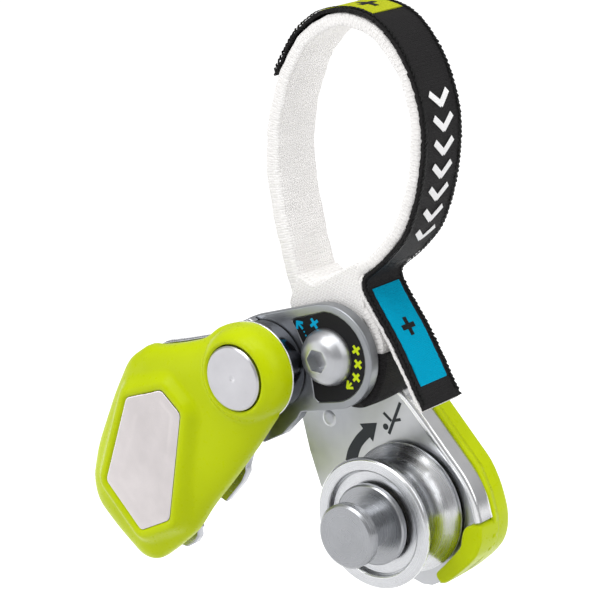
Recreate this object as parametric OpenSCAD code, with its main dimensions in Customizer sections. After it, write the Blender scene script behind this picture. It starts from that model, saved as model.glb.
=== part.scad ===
// Rope descender with a sewn hanging sling, open: the front cheek is swung away from the rope sheave.
// Lengths are in millimetres. X is to the right, Y is from the front (button) side to the back, Z is up.
// The origin of the finished part is the inside top of the sling eye, halfway across the webbing.

/* [Sheave and stud] */
// Outer radius of the rope sheave
sheave_r = 16; // [12:0.5:22]
// Half of the sheave's width
sheave_half = 7.4; // [5:0.1:10]
// Radius of the rope groove in section
groove_r = 13; // [8:0.5:14]
// Radius of the stud's neck, which the cheek slot closes on
neck_r = 5.35; // [4:0.05:7]
// Radius of the stud's mushroom head
head_r = 7.8; // [6:0.1:10]
// Radius of the fixed hub in front of the sheave
hub_r = 9.9; // [8:0.1:12]
// Radius of the stud's shaft inside the sheave
shaft_r = 6.5; // [4:0.1:8]

/* [Pivot and button] */
// X of the cheek pivot, from the sheave axis
pivot_x = -27; // [-35:0.5:-20]
// Z of the cheek pivot, from the sheave axis
pivot_z = 35.2; // [28:0.1:42]
// Outer radius of the hollow pivot axle
axle_r = 6; // [5:0.1:8]
// Bore radius of the hollow pivot axle
axle_bore_r = 3.1; // [2:0.05:4]
// Radius of the dark collar round the pivot
collar_r = 10.9; // [9:0.1:12]
// Radius of the round yellow boss round the button
boss_r = 11.8; // [11:0.1:14]
// Radius of the release button's disc
disc_r = 7.8; // [6:0.1:9]
// Radius of the release button's stem
stem_r = 3; // [2:0.05:3.5]
// How far the button travels when it is pressed
button_travel = 2; // [1:0.1:2.5]

/* [Bracket and bolt] */
// X of the hanger bolt, from the sheave axis
bolt_x = -9.6; // [-15:0.1:-5]
// Z of the hanger bolt, from the sheave axis
bolt_z = 40.6; // [35:0.1:45]
// Radius of the hanger bolt's head
bolt_head_r = 6.9; // [6:0.1:8]
// Radius of the hanger bolt's shank
bolt_r = 4; // [3:0.1:5]
// Outer radius of the sleeve that the sling runs on
sleeve_r = 7; // [6:0.1:8]
// Radius of the bracket round the bolt
bracket_r = 12.6; // [11:0.1:14]

/* [Depths] */
// Front face of the cheek cover
cover_front = -25.6; // [-28:0.1:-22]
// Rear edge of the cheek cover
cover_rear = -18; // [-20:0.1:-17]
// Front face of the steel cheek plate
cheek_front = -14.5; // [-16:0.1:-14]
// Rear face of the steel cheek plate
cheek_rear = -12.25; // [-13:0.05:-11]
// Front face of the hanger bracket
bracket_front = -12; // [-13:0.1:-10]
// Rear face of the hanger bracket's plate
bracket_rear = -9; // [-10:0.1:-8]
// Front face of the base plate
base_front = 8.2; // [7.5:0.1:9]
// Rear face of the base plate
base_rear = 10.6; // [10:0.1:12]
// Outer face of the back cover
back_face = 17; // [16.5:0.1:20]

/* [Sling] */
// Front edge of the webbing
web_front = -8; // [-9:0.1:-6]
// Rear edge of the webbing
web_rear = 6.4; // [5:0.1:7.5]
// Thickness of the black tape sewn to the webbing
tape_t = 1; // [0.6:0.1:1.5]

/* [Colours] */
// Moulded covers
lime = [0.72, 0.80, 0.02];
// Polished and brushed steel
steel = [0.62, 0.64, 0.66];
// Dark bright collar
dark_steel = [0.20, 0.20, 0.22];
// White webbing
white = [0.90, 0.88, 0.86];
// Black tape and labels
black = [0.10, 0.10, 0.11];
// Blue label
blue = [0.03, 0.55, 0.70];

/* [Hidden] */
pivot = [pivot_x, pivot_z];
bolt = [bolt_x, bolt_z];
link_r = norm(pivot);                       // pivot axis to stud axis
link_a = atan2(-pivot_z, -pivot_x);         // direction from the pivot to the stud
swing = 90;                                 // cheek swing from open to closed
slot_clear = 0.3;
eye = [-9, -0.8, 117];                      // the sling eye's inside top, from the sheave axis
$fn = 64;

// Puts sheave-centred work into the part's own frame.
module place() { translate(-eye) children(); }

// A flat shape drawn in X and Z, solid from y0 back to y1.
module slab(y0, y1) { translate([0, y1, 0]) rotate([90, 0, 0]) linear_extrude(y1 - y0) children(); }

// A cylinder along Y at [x, z], from y0 back to y1.
module rod(at, r, y0, y1) { translate([at[0], y1, at[1]]) rotate([90, 0, 0]) cylinder(r = r, h = y1 - y0); }

// A cone along Y at [x, z], radius ra at y0 and rb at y1.
module taper(at, ra, rb, y0, y1) { translate([at[0], y1, at[1]]) rotate([90, 0, 0]) cylinder(r1 = rb, r2 = ra, h = y1 - y0); }

// Turned shape along Y from a profile of [radius, y] points.
module turned(at, profile) {
    translate([at[0], 0, at[1]]) rotate([90, 0, 0]) rotate_extrude() polygon([for (p = profile) [p[0], -p[1]]]);
}

// A point at distance r and angle a from c.
function polar(c, r, a) = c + r * [cos(a), sin(a)];
// Points on an arc round c.
function arc(c, r, a0, a1, n) = [for (i = [0:n]) polar(c, r, a0 + (a1 - a0) * i / n)];

// ---------------------------------------------------------------- sling
web_outer = [[-19.8, 39], [-20.2, 42], [-21.8, 45.5], [-24.2, 50], [-26, 55.2], [-28.4, 62.1], [-30.5, 70.2],
    [-31.6, 78.5], [-31.7, 85.6], [-31, 92.9], [-29.2, 100.3], [-26.2, 107.6], [-21.9, 114], [-16.8, 118.2],
    [-11, 120.4], [-6, 120.8], [-0.6, 119.4], [3.9, 116], [7.9, 111], [10.8, 105], [12.6, 98.8], [13, 92.3],
    [12.2, 84.6], [10.6, 77.6], [8, 71.4], [2.9, 65.6], [-2.6, 60.4], [-2.8, 56.5], [0.6, 52], [2.8, 46],
    [3.5, 40], [2.6, 34.5], [-0.6, 30.2], [-5, 28.2], [-10, 28.8], [-14.6, 31.2], [-17.6, 34.2]];
web_eye = [[-19.6, 55.9], [-21.5, 62.5], [-24, 71], [-26.3, 78.8], [-27, 84], [-26.8, 91], [-25.5, 98.5],
    [-23.4, 105], [-20, 110.8], [-15.4, 115], [-9, 117], [-5, 116.9], [-1.3, 115.6], [2.4, 112.8], [5.9, 109],
    [8.3, 104.5], [9.7, 98.5], [10, 92.5], [9.4, 85], [7.6, 78.3], [4.7, 72.3], [0.5, 67.4], [-3.6, 63.7],
    [-8.6, 60.4], [-13.5, 57.4], [-17.4, 54.8]];

module sling_webbing() color(white) difference() {
    slab(web_front, web_rear) polygon(web_outer);
    slab(web_front - 1, web_rear + 1) polygon(web_eye);
    rod(bolt, sleeve_r + 0.15, web_front - 1, web_rear + 1);
    // the tab's backing lies against the neck
    slab(web_front - 1, web_rear + 1) polygon(backing_shape);
    // the strap keeper sits over the lower right turn
    slab(web_front - 1, web_rear + 1) polygon(keeper_line);
}

keeper_line = [[5, 44.5], [5, 26], [-6.5, 26], [-6, 30.6], [-2.4, 32], [0.2, 35.6], [1.1, 40], [0.6, 43.8]];
module strap_keeper() color(black) intersection() {
    slab(web_front, web_rear) polygon(web_outer);
    slab(web_front - 1, web_rear + 1) polygon(keeper_line);
}

// The tape lies on the outside of the webbing, from its top left over the top and down the right leg.
tape_in = [for (i = [10:27]) web_outer[i]];
tape_out = [[-30.1, 100.6], [-27, 108.2], [-22.5, 114.8], [-17.3, 119.1], [-11.3, 121.4], [-5.9, 121.8], [-0.1, 120.4], [4.6, 116.8], [8.8, 111.5],
    [11.8, 105.3], [13.6, 99], [14, 92.3], [13.2, 84.4], [11.5, 77.2], [8.9, 70.9], [3.6, 64.9], [-1.6, 59.9],
    [-1.7, 56.9]];
tab_line = [[-1.7, 57.6], [-1.1, 56.1], [1.6, 52.6], [5.6, 47.4], [9.8, 41], [13.6, 34.6], [15.6, 31.9]];
module sling_tape() color(black) union() {
    slab(web_front, web_rear) polygon(concat(tape_out, [for (i = [17:-1:0]) tape_in[i]]));
    slab(web_front, web_rear) polygon(concat(tab_line, [for (i = [6:-1:0]) tab_line[i] + [-0.9, -0.6]]));
}
backing_shape = concat([for (i = [1:6]) tab_line[i] + [-0.9, -0.6]],
    [for (i = [6:-1:2]) tab_line[i] + [-1.8, -1.35]], [[-2.4, 56.1]]);
module tab_backing() color(white) slab(web_front, web_rear) polygon(backing_shape);
module label_blue() color(blue)
    slab(web_front + 2.2, web_rear - 2.2) polygon([for (p = [[0.3, 54.3], [1.6, 52.6], [5.6, 47.4], [9.8, 41], [13, 35.6],
        [13.3, 35.8], [10.1, 41.2], [5.9, 47.6], [1.9, 52.8], [0.6, 54.5]]) p + [0.06, 0.05]]);
module label_green() color([0.74, 0.80, 0.16])
    slab(web_front + 2.2, web_rear - 2.2) polygon([[-22.5, 114.8], [-17.3, 119.1], [-11.3, 121.4], [-5.9, 121.8],
        [-1.5, 120.8], [-1.4, 121.1], [-5.9, 122.1], [-11.4, 121.7], [-17.4, 119.4], [-22.7, 115.1]]);

// ---------------------------------------------------------------- fixed frame
// Right edge of the plate and the back cover, from the top down.
edge_right = [[2.4, 29.8], [6.8, 25.8], [14.3, 18.4], [18.9, 13.9], [21.9, 8.4], [23.8, 2.6], [23.9, -2],
    [22.8, -5.6], [20.4, -8.8], [15.7, -13.5]];
plate_left = [[-36.5, 27], [-34.7, 20.3], [-32.8, 14.2], [-30.6, 6.8], [-27.2, -1.6], [-22.5, -8.5], [-14, -14.5],
    [-4, -17.8], [1.2, -18.8], [4, -19.4], [6.8, -19], [9.1, -17.6], [11.4, -15.8]];
plate_shape = concat([[-1, 33], [0, 30.4], [1.4, 29.6]],
    [[6, 25.2], [13.6, 17.8], [18, 13.2], [21, 8], [22.8, 2.4], [22.9, -2], [21.6, -5], [19, -8]],
    [for (i = [12:-1:0]) plate_left[i]], [[-37.5, 35], [-33, 45], [-26, 47.2], [-10, 50.6]]);
lip_shape = [[0.4, 28.4], [2.6, 26.9], [13, 17], [17.8, 12.2], [20.6, 7.8], [22.3, 3.6],
    [23.1, 3.9], [21.6, 8.5], [18.8, 13.3], [13.9, 18.3], [6.4, 25.6], [2.2, 29.8], [0.8, 29.8]];
module base_plate() color(steel) difference() {
    union() {
        slab(base_front, base_rear) polygon(plate_shape);
        rod(pivot, 12, base_front, base_rear);
        rod(bolt, 10, base_front, base_rear);
        // folded lip along the right edge
        slab(3.2, base_rear) polygon(lip_shape);
    }
    rod(pivot, axle_r, base_front - 1, base_rear + 1);
    rod(bolt, bolt_r, base_front - 1, base_rear + 1);
    rod([0, 0], 6, base_front - 1, base_rear + 1);
    rod([-24.6, 16.5], 1.6, base_front - 1, base_rear + 1);
}

back_shape = concat(edge_right, [[9, -18.8], [7, -19.2], [5, -17.6], [-4, -15.5], [-14, -12.3], [-21.5, -6.8],
    [-25.9, 0], [-29.2, 8], [-31.4, 15], [-33.2, 21], [-35, 27.5], [-38, 35], [-35, 42.6], [-29, 46], [-20, 46.6],
    [-12, 45], [-6, 39.6], [-1.6, 33.4]]);
back_window = [[-12.5, 27], [-1.8, 22.6], [8.5, 11.5], [12.4, 2.5], [3.5, -6.5], [-7.5, -3]];
module base_cover() color(lime) difference() {
    union() {
        slab(base_rear, 15.2) polygon(back_shape);
        slab(15.2, 16.2) offset(delta = -0.9) polygon(back_shape);
        slab(16.2, back_face) offset(delta = -2.4) polygon(back_shape);
        // skirt round the plate's right edge
        slab(base_front, base_rear) polygon(concat(edge_right, [[11.8, -15.6], [19, -8.2], [21.7, -5.1], [23, -2],
            [22.9, 2.4], [21.1, 8.1], [18.1, 13.4], [13.7, 17.9], [6.1, 25.3], [2, 29.2]]));
        // thick lip at the lower right corner
        slab(3, base_front) polygon([[23.8, 3.6], [23.9, -2], [22.8, -5.6], [20.4, -8.8], [15.7, -13.5], [12.9, -15.6],
            [10.8, -13.4], [13.2, -10.8], [16.3, -7], [18.2, -4.6], [18.3, -2.2], [19, 0.6], [21.4, 3.2]]);
    }
    // the plate and its lip are let into the cover
    slab(base_front - 1, base_rear) polygon(plate_shape);
    slab(2, base_rear) polygon(lip_shape);
    // room for the fixings behind the plate
    rod(pivot, 8.6, base_rear - 1, 15.9);
    rod(bolt, 7.4, base_rear - 1, 15.9);
    rod([0, 0], 9.4, base_rear - 1, 15.2);
    rod([-24.6, 16.5], 2.6, base_rear - 1, 12);
    slab(16.2, back_face + 1) polygon(back_window);
}
module back_plate() color(steel) slab(16.2, back_face - 0.1) polygon([for (p = back_window) p * 0.99]);

along = (bolt - pivot) / norm(bolt - pivot);
across = [-along[1], along[0]];
module bracket_shape() {
    translate(pivot) circle(12);
    translate(bolt) circle(bracket_r);
    polygon([pivot + across * 12, pivot - across * 12, bolt - across * bracket_r, bolt + across * bracket_r]);
    polygon([[-36, 26], [-33.5, 17.6], [-28.8, 15.1], [-22.9, 18.5], [-18.4, 23.5], [-16, 28], [-27, 34]]);
}
label_shape = concat(arc(bolt, bracket_r - 1.9, 96, -76, 16), [[-12.2, 29], [-13.4, 29.7], [-13.9, 32.5],
    [-15.6, 40], [-18.6, 45.2], [-20.2, 47.2], [-19.4, 47.9]]);
module hanger_bracket() color(steel) difference() {
    union() {
        slab(bracket_front, bracket_rear) bracket_shape();
        rod(pivot, 7.6, bracket_rear, base_front);
    }
    slab(bracket_front - 1, bracket_front + 0.5) polygon(label_shape);
    rod(pivot, axle_r, bracket_front - 1, base_front + 1);
    rod(bolt, bolt_r, bracket_front - 1, bracket_rear + 1);
}
module bracket_label() color(black) difference() {
    slab(bracket_front + 0.15, bracket_front + 0.5) polygon(label_shape);
    rod(bolt, bolt_r, bracket_front - 1, bracket_rear + 1);
}
module hanger_bolt() color(steel) difference() {
    union() {
        turned(bolt, [[0, -16.3], [3, -16.25], [4.6, -15.6], [6, -14.3], [6.7, -12.9], [bolt_head_r, -11.85],
            [0, -11.85]]);
        rod(bolt, bolt_r, -11.85, 15.4);
    }
    translate([bolt[0], -13.4, bolt[1]]) rotate([90, 0, 0]) cylinder(r = 2.9, h = 4, $fn = 6);
}
module bolt_sleeve() color(steel) difference() {
    rod(bolt, sleeve_r, bracket_rear, base_front);
    rod(bolt, bolt_r, bracket_rear - 1, base_front + 1);
}
module hanger_nut() color(steel) difference() {
    translate([bolt[0], 14.6, bolt[1]]) rotate([90, 0, 0]) cylinder(r = 7.1, h = 14.6 - base_rear, $fn = 6);
    rod(bolt, bolt_r, base_rear - 1, 16);
}
module pivot_axle() color(steel) difference() {
    union() {
        rod(pivot, 8.6, -20, -18.3);
        rod(pivot, axle_r, -18.3, base_rear + 1.7);
    }
    rod(pivot, axle_bore_r, -21, 14);
}
module axle_nut() color(steel) difference() {
    rod(pivot, 8.2, base_rear, base_rear + 1.7);
    rod(pivot, axle_r, base_rear - 1, base_rear + 3);
    // two notches that the lock dog drops into
    for (s = [-1, 1]) translate([pivot[0] + s * 7.4 - 1, base_rear + 0.8, pivot[1] - 1.6]) cube([2, 2, 3.2]);
}
module lock_stud() color(steel) turned([0, 0], [[0, -17.6], [head_r - 0.6, -17.6], [head_r, -17.1], [head_r, -15.1],
    [head_r - 0.3, -14.8], [neck_r, -14.8], [neck_r, -8.3], [hub_r - 0.4, -8.3], [hub_r, -7.9], [hub_r, -6.9],
    [shaft_r, -6.9], [shaft_r, base_front], [6, base_front], [6, base_rear + 1.9], [0, base_rear + 1.9]]);
module stud_nut() color(steel) difference() {
    rod([0, 0], 8.8, base_rear, base_rear + 2.2);
    rod([0, 0], 6, base_rear - 1, base_rear + 3);
}
module plate_rivet() color(steel) turned([-24.6, 16.5], [[0, 7.95], [1.4, 8], [2.1, 8.2], [1.6, 8.2], [1.6, 11.2],
    [0, 11.2]]);

// ---------------------------------------------------------------- sheave
module rope_sheave() color(steel) difference() {
    turned([0, 0], concat([[7.5, -5.6], [12.5, -5.6], [12.9, -7], [13.3, -sheave_half], [sheave_r - 0.5, -sheave_half],
        [sheave_r, -sheave_half + 0.5], [sheave_r, -5.9]],
        [for (i = [0:10]) let (t = -1 + i / 5) [groove_r + (sheave_r - 0.4 - groove_r) * pow(abs(t), 2), 5.4 * t]],
        [[sheave_r, 5.9], [sheave_r, sheave_half - 0.5], [sheave_r - 0.5, sheave_half], [7.5, sheave_half]]));
}
module sheave_bush() color([0.55, 0.45, 0.25]) difference() {
    rod([0, 0], 7.5, -5.6, sheave_half);
    rod([0, 0], shaft_r + 0.05, -7, sheave_half + 1);
}

// ---------------------------------------------------------------- swinging cheek
cover_shape = concat([[-60.2, -19.8], [-55.6, -19.6], [-49.6, -14.5], [-44, -9.3], [-39.1, -1.6], [-32, 7.4],
    [-24.6, 17.5], [-19.2, 25.6]], arc(pivot, boss_r, -46, 100, 14), [[-31.4, 46.4], [-35.8, 44.8], [-40, 40.9],
    [-46, 38.6], [-54.2, 36.2], [-57.8, 36], [-64.1, 31.4], [-69, 21.5], [-74.8, 7], [-76.8, -2],
    [-75.2, -8.4], [-68.5, -14.1]]);
window_shape = [[-60.9, 23.2], [-49.5, 27.6], [-43.5, 22.9], [-47.5, -5.4], [-56.8, -10.4], [-68.1, 0.1]];
module cheek_cover() color(lime) difference() {
    union() {
        slab(-22.6, cover_rear) polygon(cover_shape);
        slab(-24, -22.6) offset(delta = -0.6) polygon(cover_shape);
        slab(-25, -24) offset(delta = -1.5) polygon(cover_shape);
        slab(cover_front, -25) offset(delta = -2.9) polygon(cover_shape);
    }
    rod(pivot, disc_r + 0.3, cover_front - 1, -22);
    rod(pivot, 9.2, -23, cover_rear + 1);
    slab(cover_front - 1, -24.4) polygon(window_shape);
}
module cheek_window() color(steel) slab(-25.5, -24.4) offset(delta = -0.15) polygon(window_shape);

// Curved slot that the stud runs in: a round seat, then an arc about the pivot out past the mouth.
seat_a = link_a - swing;
function slot_shape(r) = concat(
    arc(polar(pivot, link_r, seat_a), r, seat_a, seat_a - 180, 16),
    arc(pivot, link_r - r, seat_a + 1, link_a + 20, 30),
    arc(pivot, link_r + r, link_a + 20, seat_a + 1, 30));
cheek_shape = [[-56, -16.6], [-51.3, -16.9], [-48.7, -15.1], [-47.5, -13.2], [-47.7, -11.6], [-45, -7], [-43.4, -4.7],
    [-40.8, -3.5], [-38.6, -1.9], [-36, 1.3], [-33.5, 4.5], [-32.1, 7.4], [-32.2, 8.7], [-31.2, 12], [-29.4, 16],
    [-28.4, 26], [-28, 45], [-31.1, 46.4], [-35.1, 44.3], [-39.2, 42.1], [-43.8, 39.6], [-51.7, 37], [-57.2, 35.4],
    [-61, 33], [-62.6, 28], [-66, 19], [-70.8, 6], [-72.4, -2], [-71.2, -6.4], [-66, -11]];
module cheek_plate() color(steel) difference() {
    slab(cheek_front, cheek_rear) polygon(cheek_shape);
    rod(pivot, collar_r, cheek_front - 1, cheek_rear + 1);
    slab(cheek_front - 1, cheek_rear + 1) polygon(slot_shape(neck_r + slot_clear));
}
module cheek_collar() color(dark_steel) difference() {
    rod(pivot, collar_r, cover_rear, cheek_rear);
    rod(pivot, 7.5, cover_rear - 1, cheek_rear + 1);
}
module pivot_bush() color([0.55, 0.45, 0.25]) difference() {
    rod(pivot, 7.5, cover_rear, cheek_rear);
    rod(pivot, axle_r + 0.05, cover_rear - 1, cheek_rear + 1);
}
module cheek_spacer() color(dark_steel)
    slab(cover_rear, cheek_front) polygon([[-57, 31], [-50, 34.6], [-40.5, 38.4], [-38.4, 30], [-35, 20], [-35, 14],
        [-38, 9.4], [-48, 13], [-55, 21]]);
module cheek_post() color(steel) rod([-64, -9], 3, cover_rear, cheek_front);

// ---------------------------------------------------------------- release button
module release_button() color(steel) union() {
    turned(pivot, [[0.5, -25.6], [0.9, -25.8], [disc_r - 0.4, -25.8], [disc_r, -25.4], [disc_r, -23], [stem_r, -23],
        [stem_r, 13.7], [0, 13.7], [0, -25.6]]);
}
module lock_dog() color(dark_steel) difference() {
    union() {
        slab(base_rear + 1.9, base_rear + 3) translate(pivot) square([14.4, 2.8], center = true);
        rod(pivot, 4.8, base_rear + 1.9, base_rear + 3);
    }
    rod(pivot, stem_r, base_rear, 15);
}
module button_spring() color(steel) for (y = [-22.5, -21.5, -20.5])
    translate([pivot[0], y, pivot[1]]) rotate([90, 0, 0]) rotate_extrude() translate([5.2, 0]) circle(0.4);

place() sling_webbing();
place() sling_tape();
place() tab_backing();
place() label_blue();
place() label_green();
place() strap_keeper();
place() base_plate();
place() base_cover();
place() back_plate();
place() hanger_bracket();
place() bracket_label();
place() hanger_bolt();
place() bolt_sleeve();
place() hanger_nut();
place() pivot_axle();
place() axle_nut();
place() lock_stud();
place() stud_nut();
place() plate_rivet();
place() rope_sheave();
place() sheave_bush();
place() cheek_plate();
place() cheek_collar();
place() cheek_cover();
place() cheek_window();
place() pivot_bush();
place() cheek_spacer();
place() cheek_post();
place() release_button();
place() lock_dog();
place() button_spring();
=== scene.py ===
import math

import bmesh
import bpy
import numpy as np
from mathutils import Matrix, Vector
from mathutils.geometry import delaunay_2d_cdt


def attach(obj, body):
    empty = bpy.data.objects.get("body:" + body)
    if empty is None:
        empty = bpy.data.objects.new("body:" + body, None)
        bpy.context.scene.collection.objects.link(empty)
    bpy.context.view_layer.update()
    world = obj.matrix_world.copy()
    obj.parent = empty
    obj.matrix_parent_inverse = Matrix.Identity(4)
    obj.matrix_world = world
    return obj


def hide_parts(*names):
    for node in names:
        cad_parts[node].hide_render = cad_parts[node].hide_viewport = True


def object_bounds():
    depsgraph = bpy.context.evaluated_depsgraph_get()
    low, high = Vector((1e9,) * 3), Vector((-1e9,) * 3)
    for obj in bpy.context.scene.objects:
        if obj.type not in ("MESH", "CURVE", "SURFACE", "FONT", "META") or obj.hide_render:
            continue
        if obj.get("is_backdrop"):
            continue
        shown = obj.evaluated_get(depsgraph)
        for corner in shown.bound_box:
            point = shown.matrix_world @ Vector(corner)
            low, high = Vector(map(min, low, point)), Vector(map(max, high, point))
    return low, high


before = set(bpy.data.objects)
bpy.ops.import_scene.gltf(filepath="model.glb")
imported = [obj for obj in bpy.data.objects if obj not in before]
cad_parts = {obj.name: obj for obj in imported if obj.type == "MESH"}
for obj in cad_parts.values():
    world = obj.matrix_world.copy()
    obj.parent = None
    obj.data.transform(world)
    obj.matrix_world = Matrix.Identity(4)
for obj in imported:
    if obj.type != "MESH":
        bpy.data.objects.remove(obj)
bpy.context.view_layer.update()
EYE = np.array([-9.0, -0.8, 117.0])
MM = 0.001
PIVOT = np.array([-27.0, 35.2])
BOLT = np.array([-9.6, 40.6])


# Drawing is done in millimetres about the sheave's axis, and W moves it into the part's frame.
def W(p):
    return (np.asarray(p, float) - EYE) * MM


rng = np.random.default_rng(7)
sc = bpy.context.scene
sc.view_settings.view_transform = "Standard"
sc.view_settings.look = "None"

# ------------------------------------------------------------------ camera
AZ, EL, DIST = math.radians(38.436), math.radians(17.155), 0.6
target = Vector(W((-27.264, 0.0, 48.103)))
back = Vector((math.sin(AZ) * math.cos(EL), -math.cos(AZ) * math.cos(EL), math.sin(EL)))
cam_data = bpy.data.cameras.new("camera")
cam_data.lens = 151.35
cam_data.sensor_width = 36
cam_data.clip_start = 0.01
camera = bpy.data.objects.new("camera", cam_data)
sc.collection.objects.link(camera)
camera.location = target + back * DIST
camera.rotation_euler = back.to_track_quat("Z", "Y").to_euler()
sc.camera = camera


# ------------------------------------------------------------------ materials
class Nodes:
    def __init__(self, name):
        self.m = bpy.data.materials.new(name)
        self.m.use_nodes = True
        self.t = self.m.node_tree
        self.b = self.t.nodes["Principled BSDF"]

    def add(self, kind, **kw):
        n = self.t.nodes.new(kind)
        for k, v in kw.items():
            if isinstance(k, str) and hasattr(n, k):
                setattr(n, k, v)
            else:
                n.inputs[k.replace("_", " ")].default_value = v
        return n

    def link(self, a, b):
        self.t.links.new(a, b)

    def math(self, op, a, b=None, c=None):
        n = self.t.nodes.new("ShaderNodeMath")
        n.operation = op
        for i, v in enumerate((a, b, c)):
            if v is None:
                continue
            if isinstance(v, (int, float)):
                n.inputs[i].default_value = v
            else:
                self.link(v, n.inputs[i])
        return n.outputs[0]

    def coords(self, scale=1000.0, stretch=(1, 1, 1)):
        c = self.t.nodes.new("ShaderNodeTexCoord")
        m = self.t.nodes.new("ShaderNodeMapping")
        m.inputs["Scale"].default_value = [scale * s for s in stretch]
        self.link(c.outputs["Object"], m.inputs["Vector"])
        return m.outputs[0]

    def noise(self, vec, scale, detail=3.0, rough=0.55):
        n = self.t.nodes.new("ShaderNodeTexNoise")
        n.inputs["Scale"].default_value = scale
        n.inputs["Detail"].default_value = detail
        n.inputs["Roughness"].default_value = rough
        self.link(vec, n.inputs["Vector"])
        return n.outputs[0]

    def ramp(self, fac, lo, hi, a=0.0, b=1.0):
        n = self.t.nodes.new("ShaderNodeMapRange")
        n.inputs["From Min"].default_value = lo
        n.inputs["From Max"].default_value = hi
        n.inputs["To Min"].default_value = a
        n.inputs["To Max"].default_value = b
        self.link(fac, n.inputs["Value"])
        return n.outputs[0]

    def mix(self, fac, c1, c2):
        n = self.t.nodes.new("ShaderNodeMix")
        n.data_type = "RGBA"
        if isinstance(fac, (int, float)):
            n.inputs[0].default_value = fac
        else:
            self.link(fac, n.inputs[0])
        for i, c in ((6, c1), (7, c2)):
            if isinstance(c, (tuple, list)):
                n.inputs[i].default_value = (*c[:3], 1)
            else:
                self.link(c, n.inputs[i])
        return n.outputs[2]

    def bump(self, height, strength, dist, normal=None):
        n = self.t.nodes.new("ShaderNodeBump")
        n.inputs["Strength"].default_value = strength
        n.inputs["Distance"].default_value = dist
        self.link(height, n.inputs["Height"])
        if normal is not None:
            self.link(normal, n.inputs["Normal"])
        return n.outputs[0]

    def to(self, name, value):
        if isinstance(value, (int, float)):
            self.b.inputs[name].default_value = value
        elif isinstance(value, (tuple, list)):
            self.b.inputs[name].default_value = (*value[:3], 1)
        else:
            self.link(value, self.b.inputs[name])


def plastic(name, c, rough=0.30):
    k = Nodes(name)
    v = k.coords()
    n = k.noise(v, 0.05, 2)
    k.to("Base Color", k.mix(k.ramp(n, 0.3, 0.7), [x * 0.94 for x in c], [min(1, x * 1.04) for x in c]))
    k.to("Roughness", k.ramp(k.noise(v, 0.9, 4), 0.3, 0.7, rough - 0.05, rough + 0.07))
    k.to("Specular IOR Level", 0.12)
    k.to("Normal", k.bump(k.noise(v, 3.5, 2), 0.05, 0.0001))
    return k.m


def metal(name, c, rough=0.3, vary=0.08, bump=0.08, grain=(1, 1, 1), gscale=2.0, wear=0.0):
    k = Nodes(name)
    v = k.coords()
    g = k.coords(1000.0, grain)
    k.to("Metallic", 1.0)
    cloud = k.noise(v, 0.16, 4)
    k.to("Base Color", k.mix(k.ramp(cloud, 0.3, 0.72), [x * (0.9 - wear) for x in c], c))
    fine = k.noise(g, gscale, 5, 0.6)
    k.to("Roughness", k.ramp(k.math("ADD", fine, k.math("MULTIPLY", cloud, 0.6)), 0.5, 1.1, rough - vary, rough + vary))
    k.to("Normal", k.bump(fine, bump, 0.00012))
    return k.m


def turned(name, at, c, rough=0.26, rings=2.2, bump=0.1):
    """Metal with the fine circular marks of a lathe about an axis along Y."""
    k = Nodes(name)
    x0, _, z0 = W((at[0], 0, at[1]))
    tc = k.t.nodes.new("ShaderNodeTexCoord")
    s = k.t.nodes.new("ShaderNodeSeparateXYZ")
    k.link(tc.outputs["Object"], s.inputs[0])
    x = k.math("SUBTRACT", s.outputs[0], float(x0))
    z = k.math("SUBTRACT", s.outputs[2], float(z0))
    r = k.math("SQRT", k.math("ADD", k.math("MULTIPLY", x, x), k.math("MULTIPLY", z, z)))
    c3 = k.t.nodes.new("ShaderNodeCombineXYZ")
    k.link(k.math("MULTIPLY", r, 1000.0), c3.inputs[0])
    k.link(k.math("MULTIPLY", s.outputs[1], 1000.0), c3.inputs[1])
    n = k.noise(c3.outputs[0], rings, 6, 0.7)
    cloud = k.noise(k.coords(), 0.15, 3)
    k.to("Metallic", 1.0)
    k.to("Base Color", k.mix(k.ramp(cloud, 0.3, 0.7), [q * 0.9 for q in c], c))
    k.to("Roughness", k.ramp(n, 0.3, 0.7, rough - 0.05, rough + 0.08))
    k.to("Normal", k.bump(n, bump, 0.00015))
    return k.m


def woven(name, c, c2, pitch=0.75, rib=0.5, strength=0.7, rough=0.85, fuzz=0.25, spec=0.2):
    """Woven cloth: a plain weave from the UVs, which are millimetres across and along."""
    k = Nodes(name)
    tc = k.t.nodes.new("ShaderNodeTexCoord")
    s = k.t.nodes.new("ShaderNodeSeparateXYZ")
    k.link(tc.outputs["UV"], s.inputs[0])
    v = k.coords()
    wob = k.math("MULTIPLY", k.math("SUBTRACT", k.noise(v, 0.8, 3), 0.5), 0.9)
    u = k.math("MULTIPLY", k.math("ADD", s.outputs[0], k.math("MULTIPLY", wob, 0.35)), 2 * math.pi / pitch)
    w = k.math("MULTIPLY", k.math("ADD", s.outputs[1], k.math("MULTIPLY", wob, 0.35)), 2 * math.pi / rib)
    su = k.math("SINE", u)
    sw = k.math("SINE", w)
    warp = k.math("MULTIPLY", su, k.math("SINE", k.math("MULTIPLY", w, 0.5)))
    h = k.math("ADD", k.math("MULTIPLY", k.math("ADD", su, k.math("MULTIPLY", sw, 0.8)), 0.22), k.math("MULTIPLY", warp, 0.25))
    h = k.math("ADD", h, k.math("MULTIPLY", k.noise(v, 4.0, 4, 0.7), 0.9))
    # the weave's high points take colour c and its low points the darker c2: painted shade in the weave's hollows; the
    # cloud mix below adds c2 at random, a real tone change
    cl = k.ramp(h, -0.1, 0.9)
    cloud = k.noise(v, 0.22, 3)
    base = k.mix(cl, c2, c)
    k.to("Base Color", k.mix(k.ramp(cloud, 0.35, 0.75, 0.0, 0.16), base, c2))
    k.to("Roughness", rough)
    k.to("Sheen Weight", fuzz)
    k.to("Sheen Roughness", 0.5)
    k.to("Specular IOR Level", spec)
    k.to("Normal", k.bump(h, strength, 0.0003))
    return k.m


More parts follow.
